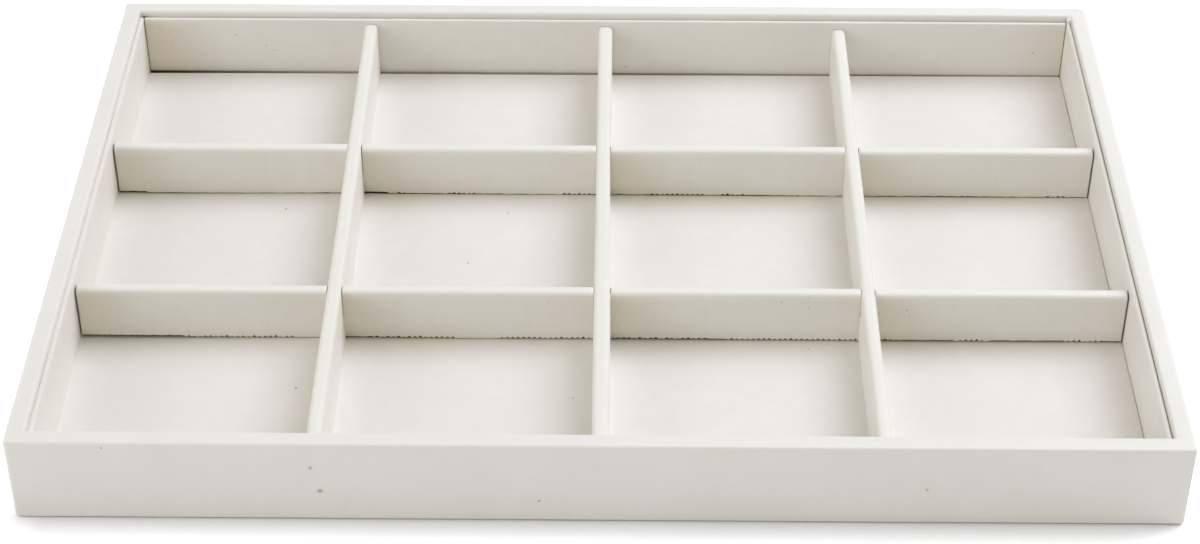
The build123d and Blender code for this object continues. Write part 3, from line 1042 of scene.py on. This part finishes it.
# Each lamp: its place, width, power and colour
LAMPS = {
    "key": ((0.90, 0.58, 1.52), 1.35, 24.3, (0.81, 0.885, 1.0)),
    "right": ((1.55, 0.15, 0.85), 1.2, 4.3, (1.0, 0.95, 0.93)),
    "left": ((-1.3, -0.4, 0.95), 1.2, 5.2, (1.0, 0.97, 0.97)),
    "front_left": ((-1.4, -0.8, 0.55), 1.0, 6.2, (0.82, 0.87, 1.0)),
    "front_low": ((-0.1, -1.5, 0.14), 0.25, 0.55, (0.92, 0.95, 1.0)),
}
ROOM_COLOUR = (1.0, 0.92, 0.77, 1.0)
ROOM_STRENGTH = 0.37


def lamps():
    """Soft boxes: the key stands high at the right and a little behind the tray."""
    for name, (place, width, power, colour) in LAMPS.items():
        light = bpy.data.lights.new(name, "AREA")
        light.shape = "SQUARE"
        light.size = width
        light.energy = power
        light.color = colour
        lamp = bpy.data.objects.new(name, light)
        lamp.location = place
        lamp.rotation_euler = (-Vector(place)).to_track_quat("-Z", "Y").to_euler()
        bpy.context.scene.collection.objects.link(lamp)


def surroundings():
    """An even, warm room for the light, and plain white where the camera looks past the table."""
    world = bpy.data.worlds.new("studio")
    bpy.context.scene.world = world
    world.use_nodes = True
    tree = world.node_tree
    tree.nodes.clear()
    light = add(tree, "Background", {"Color": ROOM_COLOUR, "Strength": ROOM_STRENGTH})
    white = add(tree, "Background", {"Color": (1, 1, 1, 1), "Strength": 1.0})
    both = add(tree, "MixShader", {0: seen_directly(tree), 1: light, 2: white})
    add(tree, "OutputWorld", {"Surface": both})


def camera():
    """The photograph's view: from the front and above, with a long lens and no shift."""
    data = bpy.data.cameras.new("camera")
    data.sensor_width = 36.0
    data.lens = 77.673
    data.clip_start = 0.01
    data.clip_end = 50.0
    eye = bpy.data.objects.new("camera", data)
    place = (0.004457, -0.682673, 0.538257)
    pitch_down, turn, roll = 0.66712, 0.00754, 0.00164
    look = Matrix.Rotation(turn, 4, "Z") @ Matrix.Rotation(QUARTER - pitch_down, 4, "X")
    eye.matrix_world = Matrix.Translation(place) @ look @ Matrix.Rotation(roll, 4, "Z")
    bpy.context.scene.collection.objects.link(eye)
    bpy.context.scene.camera = eye
    bpy.context.scene.view_settings.view_transform = "Standard"


# Operators and panel

class TRAY_OT_frame_cover(bpy.types.Operator):
    """Wrap the frame in one sheet of leatherette"""

    bl_idname = "tray.frame_cover"
    bl_label = "Frame cover"

    def execute(self, context):
        frame_cover()
        return {"FINISHED"}


class TRAY_OT_liner_covers(bpy.types.Operator):
    """Wrap the four liners in thin leatherette"""

    bl_idname = "tray.liner_covers"
    bl_label = "Liner covers"

    def execute(self, context):
        liner_covers()
        return {"FINISHED"}


class TRAY_OT_floor_cover(bpy.types.Operator):
    """Wrap the floor pad in leatherette"""

    bl_idname = "tray.floor_cover"
    bl_label = "Floor cover"

    def execute(self, context):
        floor_cover()
        return {"FINISHED"}


class TRAY_OT_row_dividers(bpy.types.Operator):
    """Wrap the dividers that run from side to side"""

    bl_idname = "tray.row_dividers"
    bl_label = "Row divider covers"

    def execute(self, context):
        row_dividers()
        return {"FINISHED"}


class TRAY_OT_column_dividers(bpy.types.Operator):
    """Wrap the dividers that run from front to back"""

    bl_idname = "tray.column_dividers"
    bl_label = "Column divider covers"

    def execute(self, context):
        column_dividers()
        return {"FINISHED"}


class TRAY_OT_underside(bpy.types.Operator):
    """Glue the felt under the tray"""

    bl_idname = "tray.underside"
    bl_label = "Underside felt"

    def execute(self, context):
        underside()
        return {"FINISHED"}


class TRAY_OT_raw_boards(bpy.types.Operator):
    """Give the boards, panel and cores their raw finish"""

    bl_idname = "tray.raw_boards"
    bl_label = "Raw boards"

    def execute(self, context):
        raw_boards()
        return {"FINISHED"}


class TRAY_OT_stage(bpy.types.Operator):
    """Set up the table, the lamps, the room and the camera"""

    bl_idname = "tray.stage"
    bl_label = "Stage"

    def execute(self, context):
        studio_floor()
        lamps()
        surroundings()
        camera()
        return {"FINISHED"}


OPERATORS = (
    TRAY_OT_stage,
    TRAY_OT_raw_boards,
    TRAY_OT_frame_cover,
    TRAY_OT_liner_covers,
    TRAY_OT_floor_cover,
    TRAY_OT_row_dividers,
    TRAY_OT_column_dividers,
    TRAY_OT_underside,
)


class TRAY_PT_panel(bpy.types.Panel):
    """Lists the tray's pieces, sizes and colours"""

    bl_label = "Jewelry tray"
    bl_idname = "TRAY_PT_panel"
    bl_space_type = "VIEW_3D"
    bl_region_type = "UI"
    bl_category = "Jewelry tray"

    def draw(self, context):
        for operator in OPERATORS:
            self.layout.operator(operator.bl_idname)
        for group in (context.scene.tray_sizes, context.scene.tray_colours):
            box = self.layout.box()
            for name in group.__annotations__:
                box.prop(group, name)


CLASSES = (TraySizes, TrayColours, *OPERATORS, TRAY_PT_panel)


def register():
    for item in CLASSES:
        bpy.utils.register_class(item)
    bpy.types.Scene.tray_sizes = bpy.props.PointerProperty(type=TraySizes)
    bpy.types.Scene.tray_colours = bpy.props.PointerProperty(type=TrayColours)


def unregister():
    del bpy.types.Scene.tray_colours
    del bpy.types.Scene.tray_sizes
    for item in reversed(CLASSES):
        bpy.utils.unregister_class(item)


def main():
    register()
    bpy.ops.tray.stage()
    bpy.ops.tray.raw_boards()
    bpy.ops.tray.frame_cover()
    bpy.ops.tray.liner_covers()
    bpy.ops.tray.floor_cover()
    bpy.ops.tray.row_dividers()
    bpy.ops.tray.column_dividers()
    bpy.ops.tray.underside()


if __name__ == "__main__":
    main()
